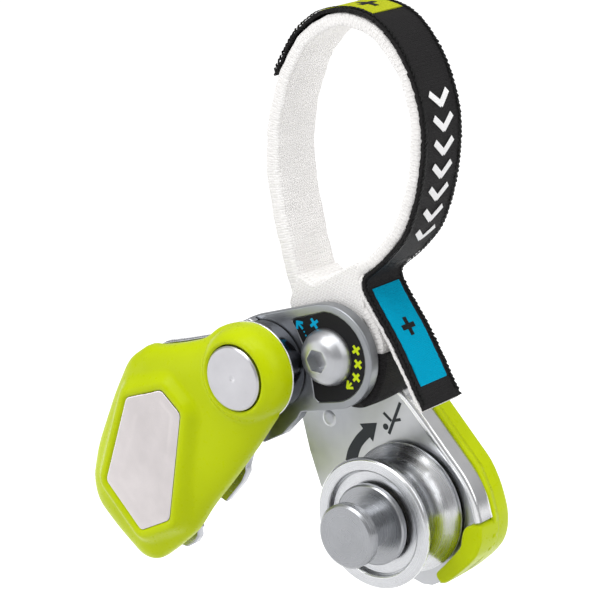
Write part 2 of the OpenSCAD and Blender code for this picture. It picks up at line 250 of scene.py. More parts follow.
LIME = (0.50, 0.605, 0.0)
M = {
    "lime": plastic("lime_cover", LIME),
    "plate": metal("ground_plate", (0.66, 0.67, 0.69), 0.33, 0.03, 0.0, (1, 1, 0.25), 1.6),
    # folded_lip_painted_highlight is the plate's own steel made paler and smoother than ground_plate: a painted
    # highlight, used on the folded lip and on the collar edge ring
    "lip": metal("folded_lip_painted_highlight", (0.93, 0.935, 0.945), 0.22, 0.02, 0.0, (1, 1, 0.25), 1.0),
    "bracket": metal("tumbled_bracket", (0.36, 0.375, 0.395), 0.33, 0.05, 0.10, (1, 1, 1), 3.5, 0.05),
    "cheek": metal("cheek_steel", (0.55, 0.56, 0.59), 0.25, 0.07, 0.08, (0.3, 1, 1), 2.0),
    "polish": metal("mirror_insert", (0.79, 0.74, 0.735), 0.12, 0.03, 0.015, (1, 1, 0.3), 0.6),
    "collar": metal("dark_collar", (0.16, 0.165, 0.18), 0.14, 0.05, 0.03, (1, 4, 1), 1.0),
    "screw": turned("turned_screw", BOLT, (0.58, 0.59, 0.61), 0.36, 2.0, 0.02),
    "stud": turned("turned_stud", (0, 0), (0.46, 0.47, 0.49), 0.27),
    "sheave": turned("turned_sheave", (0, 0), (0.80, 0.81, 0.83), 0.25, 1.2, 0.015),
    "button": turned("turned_button", PIVOT, (0.67, 0.665, 0.69), 0.30, 3.0, 0.05),
    "axle": turned("turned_axle", PIVOT, (0.55, 0.56, 0.58), 0.25),
    "brass": metal("bush_brass", (0.62, 0.46, 0.20), 0.3, 0.06, 0.06),
    "wire": metal("spring_wire", (0.5, 0.5, 0.52), 0.3, 0.06, 0.05),
    "paint": plastic("black_fill", (0.012, 0.012, 0.013), 0.5),
    "web": woven("webbing_white", (0.99, 0.975, 0.96), (0.86, 0.84, 0.82), 0.85, 0.6, 0.6),
    "tape": woven("tape_black", (0.017, 0.0155, 0.0165), (0.004, 0.004, 0.004), 0.5, 0.42, 0.8, 0.62, 0.0),
    "blue": woven("label_blue_weave", (0.0, 0.37, 0.585), (0.0, 0.28, 0.46), 0.45, 0.4, 0.45, 0.8, 0.0, 0.04),
    "green": woven("label_green_weave", (0.50, 0.54, 0.02), (0.36, 0.40, 0.015), 0.45, 0.4, 0.45, 0.8, 0.0, 0.05),
    "thread": woven("thread_dark", (0.003, 0.003, 0.003), (0.001, 0.001, 0.001), 0.4, 0.4, 0.4, 0.5, 0.0),
    "chalk": woven("woven_white_mark", (0.97, 0.96, 0.96), (0.80, 0.80, 0.80), 0.4, 0.4, 0.4, 0.8, 0.1),
    "etch": metal("etched_mark", (0.06, 0.065, 0.07), 0.45, 0.05, 0.1),
    "mark_blue": plastic("mark_blue_paint", (0.0, 0.36, 0.62), 0.5),
    "mark_green": plastic("mark_green_paint", (0.58, 0.72, 0.01), 0.5),
}


# ------------------------------------------------------------------ mesh helpers
def obj_from(name, verts, faces, mat, body, uv=None, sharp=40, smooth=True):
    me = bpy.data.meshes.new(name)
    me.from_pydata([tuple(v) for v in W(np.asarray(verts, float))], [], faces)
    me.validate()
    if uv is not None:
        lay = me.uv_layers.new(name="UVMap")
        idx = np.zeros(len(me.loops), np.int32)
        me.loops.foreach_get("vertex_index", idx)
        lay.data.foreach_set("uv", np.asarray(uv, np.float32)[idx].ravel())
    bm = bmesh.new()
    bm.from_mesh(me)
    bmesh.ops.recalc_face_normals(bm, faces=bm.faces)
    bm.to_mesh(me)
    bm.free()
    me.materials.append(M[mat])
    if smooth:
        me.polygons.foreach_set("use_smooth", [True] * len(me.polygons))
        if sharp:
            me.set_sharp_from_angle(angle=math.radians(sharp))
    o = bpy.data.objects.new(name, me)
    sc.collection.objects.link(o)
    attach(o, body)
    return o


def catmull(pts, step=0.7, closed=False):
    p = np.asarray(pts, float)
    n = len(p)
    out = []
    rng_ = range(n) if closed else range(n - 1)
    for i in rng_:
        p1, p2 = p[i], p[(i + 1) % n]
        p0 = p[(i - 1) % n] if closed or i > 0 else 2 * p1 - p2
        p3 = p[(i + 2) % n] if closed or i + 2 < n else 2 * p2 - p1
        m = max(2, int(np.linalg.norm(p2[:2] - p1[:2]) / step) + 1)
        for t in np.linspace(0, 1, m, endpoint=False):
            out.append(0.5 * ((2 * p1) + (p2 - p0) * t + (2 * p0 - 5 * p1 + 4 * p2 - p3) * t * t
                              + (3 * p1 - p0 - 3 * p2 + p3) * t ** 3))
    if not closed:
        out.append(p[-1])
    return np.array(out)


def rounded(pts, r=2.0, step=0.6):
    """A closed outline with its corners rounded, resampled evenly."""
    p = np.asarray(pts, float)
    n = len(p)
    out = []
    for i in range(n):
        a, b, c = p[i - 1], p[i], p[(i + 1) % n]
        la, lc = np.linalg.norm(a - b), np.linalg.norm(c - b)
        d = min(r, la * 0.49, lc * 0.49)
        s, e = b + (a - b) / la * d, b + (c - b) / lc * d
        for t in np.linspace(0, 1, 6):
            out.append((1 - t) ** 2 * s + 2 * t * (1 - t) * b + t * t * e)
    out = np.array(out)
    seg = np.linalg.norm(np.roll(out, -1, 0) - out, axis=1)
    s = np.concatenate([[0], np.cumsum(seg)])
    m = int(s[-1] / step)
    q = np.linspace(0, s[-1], m, endpoint=False)
    cl = np.vstack([out, out[:1]])
    return np.stack([np.interp(q, s, cl[:, 0]), np.interp(q, s, cl[:, 1])], 1)


def sdist(q, loop):
    """Distance of points to a closed outline: above 0 inside."""
    q = np.asarray(q, float)
    a, b = loop, np.roll(loop, -1, 0)
    best = np.full(len(q), 1e9)
    inside = np.zeros(len(q), bool)
    for p0, p1 in zip(a, b):
        d = p1 - p0
        t = np.clip(((q - p0) @ d) / (d @ d + 1e-12), 0, 1)
        best = np.minimum(best, np.linalg.norm(q - (p0 + t[:, None] * d), axis=1))
        hit = ((p0[1] > q[:, 1]) != (p1[1] > q[:, 1]))
        xs = p0[0] + (q[:, 1] - p0[1]) / (d[1] if abs(d[1]) > 1e-12 else 1e-12) * d[0]
        inside ^= hit & (q[:, 0] < xs)
    return np.where(inside, best, -best)


def circle_loop(c, r, n=72):
    a = np.linspace(0, 2 * math.pi, n, endpoint=False)
    return np.stack([c[0] + r * np.cos(a), c[1] + r * np.sin(a)], 1)


def fill(outer, holes, step, rings=()):
    """Triangles over an outline with holes. Returns points, triangles and the outline index ranges."""
    pts, edges, spans = [], [], []
    for lp in [outer, *holes]:
        s = len(pts)
        pts += [tuple(p) for p in lp]
        edges += [(s + i, s + (i + 1) % len(lp)) for i in range(len(lp))]
        spans.append((s, len(lp)))
    extra = []
    if step:
        lo, hi = outer.min(0), outer.max(0)
        ys = np.arange(lo[1], hi[1], step * 0.87)
        for k, y in enumerate(ys):
            for x in np.arange(lo[0] + (k % 2) * step / 2, hi[0], step):
                extra.append((x, y))
    for j, lp in enumerate([outer, *holes]):
        t = np.roll(lp, -1, 0) - np.roll(lp, 1, 0)
        t /= np.linalg.norm(t, axis=1)[:, None] + 1e-12
        nrm = np.stack([-t[:, 1], t[:, 0]], 1)
        if (sdist(lp[:1] + nrm[:1] * 0.05, lp)[0] > 0) != (j == 0):
            nrm = -nrm
        for d in rings:
            cand = lp + nrm * d
            own = sdist(cand, lp) * (1 if j == 0 else -1)
            extra += [tuple(c) for c, w in zip(cand, own) if w > 0.93 * d]
    e = np.array(extra) if extra else np.zeros((0, 2))
    if len(e):
        keep = sdist(e, outer) > 0.1
        for h in holes:
            keep &= sdist(e, h) < -0.1
        e = e[keep]
    allp = [Vector(p) for p in pts] + [Vector(p) for p in e]
    v, _, f, *_ = delaunay_2d_cdt(allp, edges, [], 0, 1e-5)
    v = np.array([tuple(x) for x in v])
    cen = np.array([v[list(t)].mean(0) for t in f])
    ok = sdist(cen, outer) > 0
    for h in holes:
        ok &= sdist(cen, h) < 0
    return v, [list(t) for t, g in zip(f, ok) if g], spans


def relief(name, outer, holes, hfun, y_base, sgn, mat, body, step=1.0,
           rings=(0.15, 0.4, 0.8, 1.3, 1.9, 2.6), floors=(), back_holes=(), sharp=50):
    """A solid whose face is a height above y_base, with walls down to it and down its holes."""
    v, f, spans = fill(outer, holes, step, rings)
    h = hfun(v)
    verts = [(p[0], y_base + sgn * k, p[1]) for p, k in zip(v, h)]
    faces = [list(t) for t in f]

    def wall(idx, loop, y):
        s = len(verts)
        verts.extend((p[0], y, p[1]) for p in loop)
        m = len(loop)
        for i in range(m):
            j = (i + 1) % m
            faces.append([idx[i], idx[j], s + j, s + i])
        return list(range(s, s + m))

    for (s, m), lp, y in zip(spans, [outer, *holes], [y_base, *floors]):
        ring = wall(list(range(s, s + m)), lp, y)
        if y != y_base and y is not None and lp is not outer and not any(lp is b[0] for b in back_holes):
            faces.append(ring)
    bv, bf, _ = fill(outer, [b[1] for b in back_holes], 0)
    s = len(verts)
    verts.extend((p[0], y_base, p[1]) for p in bv)
    faces.extend([[s + i for i in t] for t in bf])
    o = obj_from(name, verts, faces, mat, body, sharp=None)
    bm = bmesh.new()
    bm.from_mesh(o.data)
    bmesh.ops.remove_doubles(bm, verts=bm.verts, dist=2e-6)
    bmesh.ops.recalc_face_normals(bm, faces=bm.faces)
    bm.to_mesh(o.data)
    bm.free()
    o.data.set_sharp_from_angle(angle=math.radians(sharp))
    return o


def prism(name, loop, y0, y1, mat, body, bevel=0.3, segs=2, sharp=50):
    n = len(loop)
    verts = [(p[0], y0, p[1]) for p in loop] + [(p[0], y1, p[1]) for p in loop]
    faces = [list(range(n)), list(range(2 * n - 1, n - 1, -1))]
    faces += [[i, n + i, n + (i + 1) % n, (i + 1) % n] for i in range(n)]
    o = obj_from(name, verts, faces, mat, body, sharp=None)
    if bevel:
        b = o.modifiers.new("bevel", "BEVEL")
        b.width = bevel * MM
        b.segments = segs
        b.limit_method = "ANGLE"
        b.angle_limit = math.radians(50)
        w = o.modifiers.new("wn", "WEIGHTED_NORMAL")
        w.keep_sharp = False
    return o


def q(t):
    t = np.clip(t, 0, 1)
    return np.sqrt(np.maximum(0, 1 - (1 - t) ** 2))


def smooth(a, b, x):
    t = np.clip((x - a) / (b - a), 0, 1)
    return t * t * (3 - 2 * t)


def smax(a, b, k=0.35):
    m = np.maximum(a, b)
    return m + k * np.log(np.exp((a - m) / k) + np.exp((b - m) / k))


def arc(c, r, a0, a1, n):
    return [(c[0] + r * math.cos(math.radians(a0 + (a1 - a0) * i / n)), c[1] + r * math.sin(math.radians(a0 + (a1 - a0) * i / n)))
            for i in range(n + 1)]


# ------------------------------------------------------------------ the cheek's moulded cover
cover_pts = [(-60.2, -19.8), (-55.6, -19.6), (-49.6, -14.5), (-44, -9.3), (-39.1, -1.6), (-32, 7.4), (-24.6, 17.5),
             (-19.2, 25.6), *arc(PIVOT, 11.6, -46, 100, 22), (-31.4, 46.4), (-35.8, 44.8), (-40, 40.9),
             (-46, 38.6), (-54.2, 36.2), (-57.8, 36), (-64.1, 31.4), (-69, 21.5), (-74.8, 7), (-76.8, -2),
             (-75.2, -8.4), (-68.5, -14.1)]
window_pts = [(-60.9, 23.2), (-49.5, 27.6), (-43.5, 22.9), (-47.5, -5.4), (-56.8, -10.4), (-68.1, 0.1)]
cover_loop = rounded(cover_pts, 3.0, 0.55)
win_loop = rounded(window_pts, 1.1, 0.5)
disc_hole = circle_loop(PIVOT, 8.15)


def cover_height(v):
    d = np.maximum(0, sdist(v, cover_loop))
    dw = -sdist(v, win_loop)
    r = np.linalg.norm(v - PIVOT, axis=1)
    body = 1.4 + 3.9 * q(d / 8.0)
    ridge = 2.2 + 5.4 * q(d / 3.6)
    wr = 1 - smooth(1.4, 4.6, dw)
    lip = body * (1 - wr) + np.maximum(body, ridge) * wr - 0.5 * (1 - smooth(0.0, 0.55, dw))
    boss = 1.4 + 6.2 * q((11.65 - r) / 3.8) - 12 * smooth(11.6, 13.1, r) - 0.6 * (1 - smooth(8.15, 8.8, r))
    h = smax(lip, boss, 0.45)
    return np.minimum(h, 7.6)


cover = relief("cheek_cover_shell", cover_loop, [win_loop, disc_hole], cover_height, -18.0, -1, "lime", "swing_cheek",
               floors=(-24.3, -20.9), back_holes=[(disc_hole, circle_loop(PIVOT, 9.2))])
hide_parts("cheek_cover")


# a thin ring of the paler folded_lip_painted_highlight steel just outside the boss's edge: a painted highlight line
ring = prism("collar_edge_painted_highlight", circle_loop(PIVOT, 12.0, 96), -18.0, -17.5, "lip", "swing_cheek", 0.15, 2)


# The polished insert carries a faint pressed outline.
def insert_height(v):
    d = np.maximum(0, sdist(v, win_loop))
    top = smooth(8, 17, v[:, 1]) * smooth(-62, -54, v[:, 0])
    return 1.0 - 0.25 * (1 - q(d / 0.35)) - (0.012 + 0.06 * top) * np.exp(-((d - 3.4) / 0.9) ** 2)


ins_loop = rounded([tuple((np.array(p) - np.array([-54.4, 10.0])) * 0.992 + np.array([-54.4, 10.0])) for p in window_pts], 1.1, 0.45)
insert = relief("cheek_insert", ins_loop, [], insert_height, -24.3, -1, "polish", "swing_cheek", step=0.7,
                rings=(0.12, 0.3, 0.6, 1.0))
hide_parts("cheek_window")

# ------------------------------------------------------------------ straps and folded edges
def ribbon(name, path, thick, y0, y1, mat, body, nw=16, ragged=0.1, crown=0.06, lump=0.06, edge=0.35, seed=0, u0=0.0):
    """A flat strap swept along a path drawn in X and Z. Its UVs are millimetres across and along."""
    p = np.asarray(path, float)
    n = len(p)
    th = np.interp(np.linspace(0, 1, n), np.linspace(0, 1, len(thick)), thick) if np.ndim(thick) else np.full(n, thick)
    t = np.gradient(p[:, :2], axis=0)
    t /= np.linalg.norm(t, axis=1)[:, None]
    nr = np.stack([t[:, 1], -t[:, 0]], 1)
    s = np.concatenate([[0], np.cumsum(np.linalg.norm(np.diff(p[:, :2], axis=0), axis=1))])
    g = np.random.default_rng(seed + 11)
    w = y1 - y0
    sec = []
    ws = np.linspace(-1, 1, nw)
    for a in ws:
        sec.append((a * (1 - edge * th.mean() / w), 1.0))
    for a in (60, 20, -20, -60):
        sec.append((1 - edge * th.mean() / w * (1 - math.cos(math.radians(a))), math.sin(math.radians(a))))
    for a in ws[::-1]:
        sec.append((a * (1 - edge * th.mean() / w), -1.0))
    for a in (-60, -20, 20, 60):
        sec.append((-(1 - edge * th.mean() / w * (1 - math.cos(math.radians(a)))), math.sin(math.radians(a))))
    sec = np.array(sec)
    m = len(sec)
    ph = g.uniform(0, 6.28, 8)
    wob1 = ragged * (np.sin(s * 2.9 + ph[0]) * 0.4 + np.sin(s * 5.1 + ph[1]) * 0.4 + g.normal(0, 0.35, n))
    wob2 = ragged * (np.sin(s * 2.3 + ph[2]) * 0.4 + np.sin(s * 4.7 + ph[3]) * 0.4 + g.normal(0, 0.35, n))
    verts, uv = [], []
    for i in range(n):
        side = np.where(sec[:, 0] > 0, wob1[i], wob2[i]) * np.abs(sec[:, 0]) ** 3
        y = (y0 + y1) / 2 + sec[:, 0] * w / 2 + side
        bulge = 1 - crown * np.abs(sec[:, 0]) ** 2 * 2
        l = lump * (np.sin(s[i] * 0.55 + ph[4] + sec[:, 0] * 1.7) + 0.6 * np.sin(s[i] * 1.3 + ph[5] - sec[:, 0] * 2.3))
        hgt = sec[:, 1] * th[i] / 2 * bulge + l
        for j in range(m):
            verts.append((p[i, 0] + nr[i, 0] * hgt[j], y[j], p[i, 1] + nr[i, 1] * hgt[j]))
            uv.append((sec[j, 0] * w / 2 + u0 + (0.4 if sec[j, 1] < 0 else 0), s[i]))
    faces = []
    for i in range(n - 1):
        for j in range(m):
            k = (j + 1) % m
            faces.append([i * m + j, i * m + k, (i + 1) * m + k, (i + 1) * m + j])
    faces.append(list(range(m)))
    faces.append(list(range((n - 1) * m, n * m)))
    return obj_from(name, verts, faces, mat, body, uv=uv, sharp=70)


# ------------------------------------------------------------------ back cover
right = [(2.4, 29.8), (6.8, 25.8), (14.3, 18.4), (18.9, 13.9), (21.9, 8.4), (23.8, 2.6), (23.9, -2), (22.8, -5.6),
         (20.4, -8.8), (15.7, -13.5)]
back_pts = right + [(9, -18.8), (7, -19.2), (5, -17.6), (-4, -15.5), (-14, -12.3), (-21.5, -6.8), (-25.9, 0), (-29.2, 8),
                    (-31.4, 15), (-33.2, 21), (-35, 27.5), (-38, 35), (-35, 42.6), (-29, 46), (-20, 46.6), (-12, 45),
                    (-6, 39.6), (-1.6, 33.4)]
back_win = [(-12.5, 27), (-1.8, 22.6), (8.5, 11.5), (12.4, 2.5), (3.5, -6.5), (-7.5, -3)]
back_loop = rounded(back_pts, 2.5, 0.6)
bw_loop = rounded(back_win, 1.4, 0.5)


def back_height(v):
    d = np.maximum(0, sdist(v, back_loop))
    dw = -sdist(v, bw_loop)
    body = 3.5 + 2.2 * q(d / 3.0)
    ridge = 3.5 + 2.8 * q(d / 3.0)
    wr = 1 - smooth(1.5, 5.0, dw)
    return body * (1 - wr) + ridge * wr - 0.3 * (1 - smooth(0, 0.5, dw))


bcov = relief("base_cover_shell", back_loop, [bw_loop], back_height, 10.6, 1, "lime", "frame",
              floors=(16.2,), back_holes=[(None, circle_loop(PIVOT, 8.6)), (None, circle_loop((0, 0), 9.4))])
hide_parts("base_cover")
skirt = prism("base_cover_skirt", rounded(right + [(11.8, -15.6), (19, -8.2), (21.7, -5.1), (23, -2), (22.9, 2.4),
              (21.1, 8.1), (18.1, 13.4), (13.7, 17.9), (6.1, 25.3), (2, 29.2)], 0.3, 0.6), 8.2, 10.6, "lime", "frame",
              0.0)
corner = prism("base_cover_corner", rounded([(23.8, 2.4), (23.95, -2), (22.85, -5.6), (20.4, -8.8), (15.7, -13.5),
               (12.9, -15.6), (10.8, -13.4), (13.2, -10.8), (16.3, -7.0), (18.2, -4.6), (18.3, -2.2), (19.0, 0.6), (21.6, 1.8)], 1.3, 0.5),
               3.0, 10.9, "lime", "frame", 1.1, 5)
# the folded lip is drawn in the paler folded_lip_painted_highlight steel: a painted highlight along the fold
lip = ribbon("base_plate_lip", catmull([(-0.2, 30.3), (1.4, 29.0), (2.7, 27.9), (6.4, 24.5), (13.35, 17.65), (18.25, 12.65), (21.2, 8.0), (23.0, 2.8)], 0.5),
             2.0, 2.7, 8.2, "lip", "frame", nw=10, ragged=0.0, lump=0.0, crown=0.0, edge=0.5)
bins = relief("base_insert", rounded([tuple(np.array(p) * 0.99) for p in back_win], 1.4, 0.5), [],
              lambda v: 0.5 + 0 * v[:, 0], 16.2, 1, "polish", "frame", step=1.5, rings=(0.2,))
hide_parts("back_plate")


Y0, Y1 = -8.0, 6.4
loop_pts = [(-19.4, 53.2), (-17.4, 55.0), (-13.6, 56.9), (-9.0, 59.2), (-3.4, 61.9), (1.2, 65.7), (6.0, 71.6), (8.9, 78), (10.7, 84.8), (11.4, 92.3),
            (11.1, 98.8), (9.4, 104.8), (6.8, 110), (3.0, 114.4), (-1, 117.3), (-5.8, 118.8), (-10.6, 118.6), (-16, 116.4),
            (-20.8, 112.2), (-24.6, 106.3), (-27.2, 99.5), (-28.9, 92.2), (-29.4, 85), (-28.9, 78.4), (-27.3, 70.6),
            (-25.0, 62.3), (-22.9, 55.6), (-20.7, 49), (-19.2, 44.6), (-18.2, 40.6), (-17.2, 36.6), (-14.4, 33.2),
            (-9.6, 31.2), (-5, 30.1), (-1.2, 31.9), (1.0, 35.8), (1.7, 40.6), (1.2, 45.2), (-0.8, 49.6), (-3.6, 52.4), (-7.5, 53.2), (-12.0, 52.0)]
loop_path = catmull(loop_pts, 0.45)
th = [2.6, 3.2, 3.4, 3.4, 3.4, 3.4, 3.4, 3.4, 3.4, 3.5, 3.8, 4.2, 4.6, 4.7, 4.4, 3.6, 3.2, 3.2, 3.2, 3.2, 3.2]
webbing = ribbon("sling_webbing_loop", loop_path, th, Y0, Y1, "web", "sling", nw=22, ragged=0.05, lump=0.10, seed=1)
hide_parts("sling_webbing")

# the layers sewn together below the eye
neck_pts = rounded([(-24.3, 50.0), (-22.9, 54.2), (-21.2, 57.6), (-19.5, 56.3), (-17.2, 55.5), (-13.5, 57.8), (-8.6, 60.9), (-4.8, 63.2),
                    (-3.5, 62.0), (-3.9, 59.0), (-2.9, 55.4), (-1.9, 52.4), (-3.0, 49.0), (-8, 47.0), (-22.4, 46.6)], 0.7, 0.6)
nk = len(neck_pts)
neck = obj_from("sling_webbing_neck", [(p[0], y, p[1]) for y in (Y0 - 0.06, Y1 + 0.06) for p in neck_pts],
                [list(range(nk)), list(range(2 * nk - 1, nk - 1, -1))]
                + [[i, nk + i, nk + (i + 1) % nk, (i + 1) % nk] for i in range(nk)],
                "web", "sling", uv=[(p[0] - 0.3 * p[1], p[1] + 0.3 * p[0] + 0.5 * y) for y in (Y0, Y1) for p in neck_pts], sharp=50)
nb = neck.modifiers.new("bevel", "BEVEL")
nb.width = 0.5 * MM
nb.segments = 3
nb.limit_method = "ANGLE"
nb.angle_limit = math.radians(50)

keeper = ribbon("strap_keeper_sleeve", catmull([(-12.4, 31.9), (-9.4, 30.8), (-5, 30.0), (-1.1, 31.7), (1.2, 35.7), (1.9, 39.8), (1.9, 42.8)], 0.45),
                4.3, Y0 - 0.25, Y1 + 0.25, "tape", "sling", nw=18, ragged=0.12, seed=5)
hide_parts("strap_keeper")

tape_pts = [(-28.5, 103.6), (-26.5, 107.7), (-22.3, 114.3), (-17.4, 118.5), (-14.5, 119.9), (-11.3, 120.8), (-5.9, 121.2), (-0.3, 119.8), (4.3, 116.4), (8.4, 111.2), (11.3, 105.2),
            (13.1, 98.9), (13.5, 92.3), (12.7, 84.5), (11, 77.4), (8.4, 71.2), (3.4, 65.2), (-0.6, 61.6), (-2.3, 59.6),
            (-2.2, 57.4), (-0.9, 55.2), (1.3, 52.2), (5.3, 47.0), (9.5, 40.6), (13.1, 34.6), (15.1, 31.8)]
tape_path = catmull(tape_pts, 0.4)
tape = ribbon("sling_tape_outer", tape_path, [0.25, 0.35, 0.5, 0.8, 1.0] + [1.0] * 20, Y0 - 0.1, Y1 + 0.1, "tape", "sling", nw=18, ragged=0.26, lump=0.06, seed=2)
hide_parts("sling_tape")
backing = ribbon("tab_backing_strip", catmull([(-2.4, 60.4), (-3.4, 59.3), (-3.6, 57.6), (-3.0, 56.0), (-1.9, 54.5), (0.4, 51.5),
                 (4.4, 46.3), (8.6, 39.9), (12.3, 33.9), (14.3, 31.1)], 0.4), 1.1, Y0, Y1, "web", "sling", nw=18, ragged=0.12, seed=3)
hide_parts("tab_backing")


class Along:
    """Places marks on the outer face of a strap: millimetres across from the middle, and millimetres along."""

    def __init__(self, path, off):
        p = path[:, :2]
        t = np.gradient(p, axis=0)
        t /= np.linalg.norm(t, axis=1)[:, None]
        self.n = np.stack([t[:, 1], -t[:, 0]], 1)
        self.p = p
        self.s = np.concatenate([[0], np.cumsum(np.linalg.norm(np.diff(p, axis=0), axis=1))])
        c = p.mean(0)
        self.off = off

    def at(self, w, s, lift=0.0):
        x = np.interp(s, self.s, self.p[:, 0])
        z = np.interp(s, self.s, self.p[:, 1])
        nx = np.interp(s, self.s, self.n[:, 0])
        nz = np.interp(s, self.s, self.n[:, 1])
        k = self.off + math.copysign(lift, self.off)
        return (x + nx * k, (Y0 + Y1) / 2 + w, z + nz * k)

    def near(self, x, z):
        return float(self.s[np.argmin(np.hypot(self.p[:, 0] - x, self.p[:, 1] - z))])


def bars(name, al, items, mat, lift=0.05, thick=0.12):
    """Small woven bars on a strap: (across, along, length, width, angle from across)."""
    verts, faces, uv = [], [], []
    for w0, s0, ln, wd, ang in items:
        ca, sa = math.cos(math.radians(ang)), math.sin(math.radians(ang))
        nl = max(2, int(ln / 0.6) + 1)
        base = len(verts)
        for lay in (0, 1):
            for i in range(nl):
                for j in (0, 1):
                    a = (i / (nl - 1) - 0.5) * ln
                    b = (j - 0.5) * wd
                    ww, ss = w0 + a * ca - b * sa, s0 + a * sa + b * ca
                    verts.append(al.at(ww, ss, lift if lay else lift - thick))
                    uv.append((ww, ss))
        k = nl * 2
        for i in range(nl - 1):
            a = base + i * 2
            faces += [[a, a + 1, a + 3, a + 2], [a + k, a + k + 2, a + k + 3, a + k + 1],
                      [a, a + 2, a + k + 2, a + k], [a + 1, a + k + 1, a + k + 3, a + 3]]
        e = base + (nl - 1) * 2
        faces += [[base, base + k, base + k + 1, base + 1], [e, e + 1, e + k + 1, e + k]]
    return obj_from(name, verts, faces, mat, "sling", uv=uv, sharp=40)


tnorm = Along(tape_path, 1.0)
# the outer face is the one away from the eye's centre
test = np.array(tnorm.at(0, tnorm.near(13.5, 92.3)))
OUT = 0.5 if test[0] > 13.5 else -0.5
al = Along(tape_path, OUT)
s_top = al.near(-5.9, 121.2)
lab_g = ribbon("label_green_patch", np.array([al.at(0, s, 0.02)[::2] for s in np.arange(al.near(-23.5, 112.6), al.near(-1.8, 120.4), 0.5)]), 0.35,
               Y0 + 1.7, Y1 - 1.7, "green", "sling", nw=14, ragged=0.08, lump=0.02, seed=8)
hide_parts("label_green")
s_a, s_b = al.near(-1.9, 56.8), al.near(12.3, 36.0)
lab_b = ribbon("label_blue_patch", np.array([al.at(0, s, 0.02)[::2] for s in np.arange(s_a, s_b, 0.5)]), 0.35,
               Y0 + 2.1, Y1 - 2.1, "blue", "sling", nw=14, ragged=0.08, lump=0.02, seed=9)
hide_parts("label_blue")
s_mid = (s_a + s_b) / 2 - 1.5
bars("label_blue_plus", al, [(0, s_mid, 4.6, 1.25, 0), (0, s_mid, 4.6, 1.25, 90)], "thread", 0.26)
bars("label_green_plus", al, [(-0.4, al.near(-7, 121), 5.4, 1.5, 0), (-0.4, al.near(-7, 121), 5.4, 1.5, 90)], "thread", 0.26)
chev = []
s0, s1 = al.near(12.2, 102.6), al.near(8.0, 71.4)
for k in range(7):
    s = s0 + (s1 - s0) * k / 6
    chev += [(-1.45, s, 4.6, 1.5, 40), (1.75, s, 4.6, 1.5, -40)]
bars("tape_chevrons", al, chev, "chalk", 0.22, 0.35)
# edge stitches
st = []
s = al.s[0] + 1.0
while s < al.s[-1] - 1.0:
    for sg in (-1, 1):
        st.append((sg * 6.5, s + rng.uniform(-0.12, 0.12), 1.7, 0.5, 62 * sg + rng.uniform(-14, 14)))
    s += 1.15
bars("tape_edge_stitch", al, st, "thread", 0.30, 0.45)
tack = []
for k in range(11):
    tack.append((-5.6 + k * 1.12, al.near(1.2, 63.2), 2.6, 0.4, 70 if k % 2 else 110))
bars("tape_bar_tack", al, tack, "thread", 0.14, 0.3)


# ------------------------------------------------------------------ flat marks on plates
def mark(name, loops, y0, mat, body, depth=0.06):
    verts, faces = [], []
    for i_, lp in enumerate(loops):
        # each stroke sits a hair before the last, so none share a plane
        y = y0 - 0.004 * i_
        n, b = len(lp), len(verts)
        verts += [(p[0], y, p[1]) for p in lp] + [(p[0], y + depth, p[1]) for p in lp]
        faces += [[b + i for i in range(n)], [b + n + i for i in range(n)][::-1]]
        faces += [[b + i, b + n + i, b + n + (i + 1) % n, b + (i + 1) % n] for i in range(n)]
    return obj_from(name, verts, faces, mat, body, smooth=False)


def stroke(a, b, w):
    a, b = np.array(a, float), np.array(b, float)
    t = (b - a) / np.linalg.norm(b - a)
    n = np.array([-t[1], t[0]]) * w / 2
    return [tuple(a + n), tuple(a - n), tuple(b - n), tuple(b + n)]


def cross(c, ln, w, ang=45):
    out = []
    for a in (ang, ang + 90):
        d = np.array([math.cos(math.radians(a)), math.sin(math.radians(a))]) * ln / 2
        out.append(stroke(np.array(c) - d, np.array(c) + d, w))
    return out


arrow = catmull([(-19.6, 6.9), (-18.9, 9.7), (-17.7, 12.0), (-16.2, 14.2), (-14.4, 16.2)], 0.6)
arrow2 = catmull([(-12.3, 14.4), (-13.8, 12.7), (-15.0, 10.9), (-15.9, 8.2), (-16.3, 6.0)], 0.6)
mark("plate_arrow_mark", [[tuple(p) for p in arrow] + [(-15.4, 17.2), (-10.2, 18.6), (-11.3, 13.5)] + [tuple(p) for p in arrow2]],
     8.2 - 0.03, "etch", "frame")
mark("plate_small_mark", [stroke((-8.3, 21.6), (-5.9, 20.0), 0.75), stroke((-3.4, 25.2), (-6.6, 16.6), 0.85),
                          stroke((-3.2, 21.0), (-5.4, 20.2), 0.75), [tuple(p) for p in circle_loop((-7.6, 18.2), 0.8, 16)]],
     8.2 - 0.03, "etch", "frame")
YL = -11.87
mark("label_marks_blue", cross((-13.7, 47.9), 2.7, 0.7, 40) + [stroke((-18.9, 47.3), (-17.0, 47.35), 0.65), stroke((-18.7, 47.5), (-18.7, 45.6), 0.65),
     stroke((-18.6, 47.2), (-17.0, 45.9), 0.55)] + [[tuple(p) for p in circle_loop(c, 0.22, 10)] for c in ((-16.6, 45.3), (-16.1, 44.5), (-15.6, 43.7))],
     YL, "mark_blue", "frame")
mark("label_marks_green", cross((-1.5, 43.9), 2.5, 0.7, 40) + cross((-0.9, 40.6), 2.5, 0.7, 45) + cross((-1.4, 37.3), 2.5, 0.7, 50)
     + [stroke((-4.1, 34.2), (-2.2, 34.6), 0.6), stroke((-4.0, 34.1), (-3.7, 36.1), 0.6), stroke((-3.9, 34.3), (-2.7, 35.7), 0.5)]
     + [[tuple(p) for p in circle_loop(c, 0.22, 10)] for c in ((-4.2, 37.2), (-4.9, 37.9))],
     YL, "mark_green", "frame")


